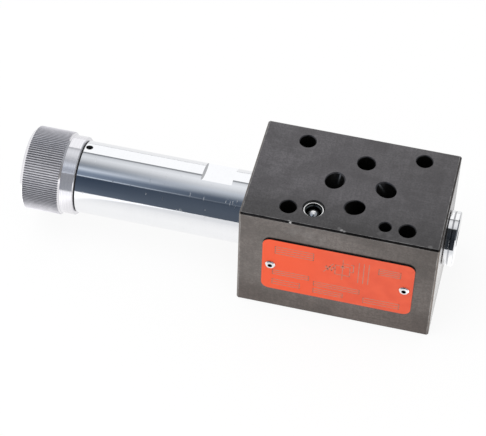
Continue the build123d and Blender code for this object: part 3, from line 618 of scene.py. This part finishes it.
def expander_material():
    """Plated sleeve with a painted highlight on its lip, and painted shade inside the lip."""
    material, graph = new_material("expander_steel_look")
    place = graph.place()
    x, y, _ = graph.axes(place)
    off_x = graph.math("SUBTRACT", x, EXPANDER_CENTRE[0] * MM)
    radius = graph.radius(off_x, graph.math("SUBTRACT", y, EXPANDER_CENTRE[1] * MM))
    grain = graph.noise(place, 3600.0, 3.0, 0.6)
    level = graph.span(graph.facing(2), 0.3, 0.6)
    inner, outer = EXPANDER_LIP
    lip = graph.both(level, graph.span_mm(radius, inner, inner + 0.03))
    lip = graph.both(lip, graph.span_mm(radius, outer + 0.04, outer))
    # Painted highlight on the lip, and painted shade on the inner wall and step
    bright = graph.mix(graph.span(grain, 0.3, 0.7), *LIP_HIGHLIGHT)
    graph.surface(
        Base_Color=graph.mix(lip, graph.mix(level, EXPANDER_WALL_SHADE, EXPANDER_STEP_SHADE), bright),
        Metallic=graph.span(lip, 0.0, 1.0, 1.0, 0.25),
        Roughness=graph.span(grain, 0.3, 0.7, 0.15, 0.25),
        Normal=graph.bump(grain, 0.002, 0.5),
    )
    return material


# The nameplate's colours: lacquer at the left, two shades that cloud the rest, the painted shade on
# its edge, and two shades of its print
LACQUER_LEFT = (0.93, 0.112, 0.040, 1)
LACQUER = ((0.80, 0.103, 0.046, 1), (0.86, 0.122, 0.054, 1))
PLATE_EDGE_SHADE = (0.012, 0.011, 0.011, 1)
PRINT = ((0.46, 0.24, 0.17, 1), (0.64, 0.17, 0.10, 1))


def lacquer_material():
    """Orange-red lacquer on the plate's face, with painted shade on its edge all round."""
    material, graph = new_material("nameplate_look")
    place = graph.place()
    x, y, _ = graph.axes(place)
    cloudy = graph.noise(place, 180.0, 3.0, 0.5)
    fine = graph.noise(place, 3000.0, 2.0, 0.5)
    face = graph.mix(graph.span(cloudy, 0.3, 0.7), *LACQUER)
    face = graph.mix(graph.span_mm(x, -24.0, 10.0), LACQUER_LEFT, face)
    # Painted shade on the plate's edge
    side = graph.span_mm(y, PLATE_FACE_Y + 0.05, PLATE_FACE_Y + 0.13)
    graph.surface(
        Base_Color=graph.mix(side, face, PLATE_EDGE_SHADE),
        Roughness=graph.span(fine, 0.3, 0.7, 0.34, 0.46),
        IOR=1.32,
        Normal=graph.bump(fine, 0.003, 0.4),
    )
    return material


def print_material():
    """The pale lines on the plate, where the lacquer is etched away."""
    material, graph = new_material("nameplate_print_look")
    rubbed = graph.noise(graph.place(), 1500.0, 3.0, 0.6)
    graph.surface(
        Base_Color=graph.mix(graph.span(rubbed, 0.35, 0.7), *PRINT),
        Roughness=graph.span(rubbed, 0.3, 0.7, 0.4, 0.5),
    )
    return material


def soft_material(name, base, lighter, roughness):
    """Rubber or plastic with a fine grain."""
    material, graph = new_material(name + "_look")
    grain = graph.noise(graph.place(), 1500.0, 3.0, 0.6)
    graph.surface(
        Base_Color=graph.mix(graph.span(grain, 0.35, 0.7), base, lighter),
        Roughness=graph.span(grain, 0.3, 0.7, roughness * 0.9, roughness * 1.1),
        Normal=graph.bump(grain, 0.01, 0.4),
    )
    return material


LOOKS = {
    "block_steel": block_material(),
    "plated_steel": plated_material(),
    "knob_steel": knob_material(),
    "expander_steel": expander_material(),
    "nameplate_lacquer": lacquer_material(),
}

# The plain metals: base and duller colour, and roughness
PLAIN_STEELS = (
    ("spool_steel", (0.62, 0.62, 0.62, 1), (0.54, 0.54, 0.54, 1), 0.2),
    ("spring_steel", (0.3, 0.3, 0.31, 1), (0.22, 0.22, 0.23, 1), 0.3),
    ("ball_steel", (0.93, 0.93, 0.93, 1), (0.86, 0.86, 0.87, 1), 0.1),
    ("rivet_steel", (0.92, 0.92, 0.92, 1), (0.86, 0.86, 0.86, 1), 0.2),
    ("pin_steel", (0.05, 0.05, 0.05, 1), (0.03, 0.03, 0.03, 1), 0.4),
)
for name, base, dull, roughness in PLAIN_STEELS:
    LOOKS[name] = plain_steel(name, base, dull, roughness, bored=(name == "rivet_steel"))

# The soft materials: base and lighter colour, and roughness
SOFT_MATERIALS = (
    ("seal_rubber", (0.012, 0.012, 0.013, 1), (0.02, 0.02, 0.021, 1), 0.5),
    ("backup_plastic", (0.8, 0.8, 0.76, 1), (0.86, 0.86, 0.83, 1), 0.4),
)
for name, base, lighter, roughness in SOFT_MATERIALS:
    LOOKS[name] = soft_material(name, base, lighter, roughness)

for subpart in frame["record"]["subparts"]:
    node = frame["nodes"].get(subpart["node"])
    if node is None:
        continue
    for material_slot in node.material_slots:
        material_slot.material = LOOKS[subpart["material_slot"]]


# The plate's print, a plain valve symbol and blank fields, in millimetres from the plate's middle:
# how wide a line is, how far apart rows are and how proud they stand, each stroke of the symbol
# from end to end, and each field's left, low, right and high side
LINE = 0.3
ROW_PITCH = 1.05
PRINT_PROUD = 0.012
STROKES = (
    ((-0.8, 1.6), (4.2, 1.6)),
    ((4.2, 1.6), (4.2, 6.2)),
    ((4.2, 6.2), (-0.8, 6.2)),
    ((-0.8, 6.2), (-0.8, 1.6)),
    ((1.7, 1.6), (1.7, 6.2)),
    ((1.7, 6.2), (1.1, 5.2)),
    ((1.7, 6.2), (2.3, 5.2)),
    ((1.7, 6.2), (1.7, 9.4)),
    ((1.7, 1.6), (1.7, -0.6)),
    ((-0.8, 3.9), (-1.4, 4.9)),
    ((-1.4, 4.9), (-2.0, 2.9)),
    ((-2.0, 2.9), (-2.6, 4.9)),
    ((-2.6, 4.9), (-3.2, 2.9)),
    ((-3.2, 2.9), (-3.8, 4.9)),
    ((-3.8, 4.9), (-4.2, 3.9)),
    ((-4.6, 1.8), (-1.6, 6.4)),
    ((4.2, 3.9), (5.4, 3.9)),
    ((5.4, 3.9), (5.4, 7.6)),
    ((5.4, 7.6), (4.6, 7.6)),
    ((3.8, 7.6), (3.0, 7.6)),
    ((2.4, 7.6), (1.7, 7.6)),
    ((7.2, -0.6), (7.2, 9.4)),
    ((8.9, -0.6), (8.9, 9.4)),
    ((10.6, -0.6), (10.6, 9.4)),
)
FIELDS = (
    (-21.6, 6.2, -8.4, 9.6),
    (-22.2, -4.6, -9.6, -2.6),
    (-22.2, -9.8, -12.6, -7.4),
    (-7.8, -6.6, 8.0, -4.6),
    (-7.8, -10.2, 2.4, -8.2),
    (14.0, 5.6, 21.4, 8.4),
    (9.6, -10.4, 22.0, -8.0),
)


def print_lines():
    """Each stroke, and the frame and the blank rows of each field."""
    lines = list(STROKES)
    for left, low, right, high in FIELDS:
        corners = ((left, low), (right, low), (right, high), (left, high))
        for index in range(4):
            lines.append((corners[index], corners[(index + 1) % 4]))
        rows = round((high - low) / ROW_PITCH)
        for row in range(1, rows):
            level = low + (high - low) * row / rows
            lines.append(((left, level), (right, level)))
    return lines


def nameplate_print():
    """Thin raised strips, one for each line."""
    points = []
    faces = []
    for start, end in print_lines():
        start = Vector(start)
        end = Vector(end)
        along = (end - start).normalized() * LINE / 2
        side = Vector((-along.y, along.x))
        ring = (
            start - along - side,
            end + along - side,
            end + along + side,
            start - along + side,
        )
        first = len(points)
        for depth in (0.0, PRINT_PROUD):
            for corner in ring:
                x = PLATE_CENTRE[0] + corner.x
                z = PLATE_CENTRE[1] + corner.y
                points.append(in_metres((x, PLATE_FACE_Y - depth, z)))
        faces.append((first + 4, first + 5, first + 6, first + 7))
        faces.append((first + 3, first + 2, first + 1, first))
        for index in range(4):
            other = (index + 1) % 4
            faces.append((first + index, first + other, first + other + 4, first + index + 4))
    mesh = bpy.data.meshes.new("nameplate_print")
    mesh.from_pydata(points, [], faces)
    mesh.materials.append(print_material())
    piece = placed("nameplate_print", mesh)
    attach(piece, "housing")


nameplate_print()


# The main spring, in millimetres: where the middle of its wire starts, its radii, and its turns
# with their pitch, a closed turn at each end. It is split into two parts after some of its turns.
# Then how finely its wire is drawn.
SPRING_START_X = -68.75
SPRING_RADIUS = 5.75
WIRE_RADIUS = 1.25
SPRING_TURNS = ((1, 2.55), (8, 4.05), (1, 2.55))
SPLIT_TURN = 6
LAST_TURN = 10
STEPS_PER_TURN = 36
STEPS_ROUND_WIRE = 16


def spring_x(turn):
    """The place along the axis after this many turns, in millimetres."""
    place = SPRING_START_X
    for count, pitch in SPRING_TURNS:
        place += min(max(turn, 0.0), count) * pitch
        turn -= count
    return place


def wire_ring(turn):
    """The points round the wire after this many turns."""
    angle = tau * turn
    nudge = 0.5 / STEPS_PER_TURN
    rise = (spring_x(turn + nudge) - spring_x(turn - nudge)) / (2 * nudge)
    swing = SPRING_RADIUS * tau
    outward = Vector((0.0, sin(angle), -cos(angle)))
    onward = Vector((rise, swing * cos(angle), swing * sin(angle)))
    aside = onward.normalized().cross(outward)
    centre = Vector((spring_x(turn), 0.0, AXIS_Z)) + outward * SPRING_RADIUS
    ring = []
    for index in range(STEPS_ROUND_WIRE):
        angle = tau * index / STEPS_ROUND_WIRE
        off = (outward * cos(angle) + aside * sin(angle)) * WIRE_RADIUS
        ring.append((centre + off) * MM)
    return ring


def spring_part(name, first, last):
    """The coiled wire between two turns, closed at both ends."""
    steps = (last - first) * STEPS_PER_TURN
    points = []
    for step in range(steps + 1):
        points += wire_ring(first + step / STEPS_PER_TURN)
    faces = []
    for step in range(steps):
        low = step * STEPS_ROUND_WIRE
        high = low + STEPS_ROUND_WIRE
        for index in range(STEPS_ROUND_WIRE):
            other = (index + 1) % STEPS_ROUND_WIRE
            faces.append((low + index, low + other, high + other, high + index))
    end = steps * STEPS_ROUND_WIRE
    faces.append(tuple(reversed(range(STEPS_ROUND_WIRE))))
    faces.append(tuple(range(end, end + STEPS_ROUND_WIRE)))
    mesh = bpy.data.meshes.new(name)
    mesh.from_pydata(points, [], faces)
    for face in mesh.polygons[:-2]:
        face.use_smooth = True
    mesh.materials.append(LOOKS["spring_steel"])
    piece = placed(name, mesh)
    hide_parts("main_spring")
    return piece


def on_axis(x):
    """A place on the valve's axis, given in millimetres, in metres."""
    return in_metres((x, 0.0, AXIS_Z))


left_part = spring_part("main_spring_left", 0, SPLIT_TURN)
right_part = spring_part("main_spring_right", SPLIT_TURN, LAST_TURN)

# Where the two parts meet, and places on the axis where the open turns start and end
split_x = spring_x(SPLIT_TURN)
first_open = on_axis(spring_x(1) - WIRE_RADIUS)
last_open = on_axis(spring_x(LAST_TURN - 1) + WIRE_RADIUS)
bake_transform(left_part)
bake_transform(right_part)


# Studio round the valve, which shows in the bright metal. Each row is an angle, from the front
# (-Y) up over the top to the back, then the levels that are seen there in the knob's end of the
# sleeve, in the block's end and in the plug, and how cool the light is.
STUDIO = (
    (-10, 97, 85, 52, 14),
    (4, 94, 84, 50, 14),
    (20, 77, 83, 42, 15),
    (42, 61, 76, 36, 16),
    (47, 64, 70, 38, 15),
    (49, 235, 112, 38, 14),
    (51, 130, 84, 40, 17),
    (60, 132, 88, 44, 18),
    (64, 156, 104, 44, 16),
    (67, 176, 122, 44, 14),
    (71, 204, 142, 44, 12),
    (81, 138, 185, 44, 11),
    (85, 141, 192, 50, 9),
    (87, 145, 195, 198, 8),
    (91, 153, 200, 212, 6),
    (102, 196, 220, 226, 4),
    (112, 216, 229, 232, 4),
    (124, 200, 212, 215, 4),
    (127, 90, 95, 105, 6),
    (130, 240, 242, 242, 2),
    (134, 251, 251, 251, 1),
    (180, 251, 251, 251, 1),
)
METAL_SHARE = 0.89

# How much of the cool tint shows in each of the three, and the slants along X between which one
# goes over to the next: knob's end to block's end, and block's end to plug
COOL_SHARES = (1.0, 0.8, 0.3)
SLEEVE_SLANT = (-0.219, -0.163)
PLUG_SLANT = (-0.125, -0.085)

# The walls at both ends of the valve: the level seen in metal, its cool tint, and where they start
# along X, to both sides of a middle. Then the light that falls on what isn't glossy.
END_LEVEL = 135
END_COOL = 6
END_MIDDLE = -0.14
END_REACH = (0.2, 0.6)
DIFFUSE_LEVEL = 0.80


def studio_light(level, cool):
    """Light that shows as this display level in bright metal, with a cooler tint."""
    shade = colour(level - 0.7 * cool, level, level + cool)
    return tuple(value / METAL_SHARE for value in shade[:3]) + (1.0,)


def make_world():
    """A pale studio with a dark side in front, which shows only in reflections."""
    world = bpy.data.worlds.new("studio")
    world.use_nodes = True
    graph = Graph(world.node_tree)
    x, y, z = graph.axes(graph.node("TexCoord").outputs["Generated"])
    first = STUDIO[0][0]
    last = STUDIO[-1][0]
    position = graph.span(graph.angle(y, z), first, last, smooth=False)
    sides = []
    for column, share in enumerate(COOL_SHARES, start=1):
        stops = []
        for row in STUDIO:
            place = (row[0] - first) / (last - first)
            stops.append((place, studio_light(row[column], share * row[-1])))
        sides.append(graph.ramp(position, stops))
    in_knob_end, in_block_end, in_plug = sides
    in_metal = graph.mix(graph.span(x, *SLEEVE_SLANT, smooth=False), in_knob_end, in_block_end)
    in_metal = graph.mix(graph.span(x, *PLUG_SLANT), in_metal, in_plug)
    end_wall = graph.span(graph.apart(x, END_MIDDLE), *END_REACH)
    in_metal = graph.mix(end_wall, in_metal, studio_light(END_LEVEL, END_COOL))
    paths = graph.node("LightPath").outputs
    level = (DIFFUSE_LEVEL, DIFFUSE_LEVEL, DIFFUSE_LEVEL, 1.0)
    light = graph.mix(paths["Is Glossy Ray"], level, in_metal)
    shown = graph.math("MAXIMUM", paths["Is Camera Ray"], paths["Is Transmission Ray"])
    light = graph.mix(shown, light, WHITE)
    graph.show(graph.node("Background", {"Color": light, "Strength": 1.0}), "OutputWorld")
    bpy.context.scene.world = world


# The table, in millimetres: its edges, and its face just under the valve
TABLE_SIDE = 2000.0
TABLE_FRONT = -430.0
TABLE_BACK = 2000.0
TABLE_LEVEL = -0.02

# How the table shows in bright metal: a duller colour, and where it sets in along Y in front and
# behind, then where it is brighter along X beside the plug and round the knob, and how far back
# that reaches
TABLE_DULL = (0.76, 0.77, 0.79, 1)
DULL_FRONT_Y = (-30.0, -110.0)
DULL_BACK_Y = (20.0, 50.0)
DULL_BACK_SHARE = 0.45
PLUG_SIDE_X = (31.0, 34.0)
PLUG_SIDE_EXTRA = 0.5
KNOB_START_X = (-104.0, -114.0)
KNOB_END_X = (-165.0, -150.0)
KNOB_EXTRA = 0.6
BRIGHT_BACK_Y = (30.0, 15.0)
PAPER = (0.92, 0.92, 0.92, 1)
GLOW_SHARE = 0.9


def table_material():
    """Paper that keeps a faint shadow under a white glow."""
    material, graph = new_material("table_white")
    paths = graph.node("LightPath").outputs
    in_metal = paths["Is Glossy Ray"]
    x, y, _ = graph.axes(graph.place())
    in_front = graph.span_mm(y, *DULL_FRONT_Y, smooth=False)
    dull = graph.math("MAXIMUM", in_front, graph.span_mm(y, *DULL_BACK_Y, 0.0, DULL_BACK_SHARE))
    light = graph.mix(graph.both(dull, in_metal), WHITE, TABLE_DULL)
    by_knob = graph.span_mm(x, *KNOB_START_X, 0.0, KNOB_EXTRA)
    by_knob = graph.both(by_knob, graph.span_mm(x, *KNOB_END_X))
    extra = graph.math("ADD", graph.span_mm(x, *PLUG_SIDE_X, 0.0, PLUG_SIDE_EXTRA), by_knob)
    extra = graph.both(graph.both(extra, graph.span_mm(y, *BRIGHT_BACK_Y)), in_metal)
    glow = graph.node("Emission", {"Color": light, "Strength": graph.math("ADD", extra, 1.0)})
    paper = graph.node("BsdfDiffuse", {"Color": PAPER})
    shown = graph.math("MAXIMUM", paths["Is Camera Ray"], in_metal)
    shown = graph.math("MAXIMUM", shown, paths["Is Transmission Ray"])
    mixed = graph.node("MixShader", {"Fac": graph.math("MULTIPLY", shown, GLOW_SHARE)})
    graph.put(mixed.inputs[1], paper.outputs[0])
    graph.put(mixed.inputs[2], glow.outputs[0])
    graph.show(mixed)
    return material


def make_floor():
    """A white table."""
    corners = (
        (-TABLE_SIDE, TABLE_FRONT, TABLE_LEVEL),
        (TABLE_SIDE, TABLE_FRONT, TABLE_LEVEL),
        (TABLE_SIDE, TABLE_BACK, TABLE_LEVEL),
        (-TABLE_SIDE, TABLE_BACK, TABLE_LEVEL),
    )
    mesh = bpy.data.meshes.new("table")
    mesh.from_pydata([in_metres(corner) for corner in corners], [], [(0, 1, 2, 3)])
    mesh.materials.append(table_material())
    table = placed("table", mesh)


# The lamp, in metres: where it is, what it aims at and its width, and its power in watts
LAMP_PLACE = (-0.35, -0.25, 1.1)
LAMP_AIM = (0, 0, 0.02)
LAMP_SIZE = 0.9
LAMP_POWER = 6.0


def make_lamp():
    """One large soft lamp above and to the left."""
    light = bpy.data.lights.new("softbox", "AREA")
    light.shape = "SQUARE"
    light.size = LAMP_SIZE
    light.energy = LAMP_POWER
    lamp = placed("softbox", light)
    lamp.location = LAMP_PLACE
    aim = Vector(LAMP_AIM) - lamp.location
    lamp.rotation_euler = aim.to_track_quat("-Z", "Y").to_euler()
    lamp.visible_glossy = False


def make_camera():
    """A camera that stands where the photograph was taken."""
    data = bpy.data.cameras.new("camera")
    data.sensor_fit = "HORIZONTAL"
    data.sensor_width = SENSOR_WIDTH
    data.lens = CAMERA_LENS
    data.clip_start = 0.01
    camera = placed("camera", data)
    right = Vector(CAMERA_RIGHT)
    up = -Vector(CAMERA_DOWN)
    back = -Vector(CAMERA_AHEAD)
    turn = Matrix((right, up, back)).transposed().to_4x4()
    camera.matrix_world = Matrix.Translation(CAMERA_PLACE) @ turn
    bpy.context.scene.camera = camera


make_world()
make_floor()
make_lamp()
make_camera()
bpy.context.scene.view_settings.view_transform = "Standard"
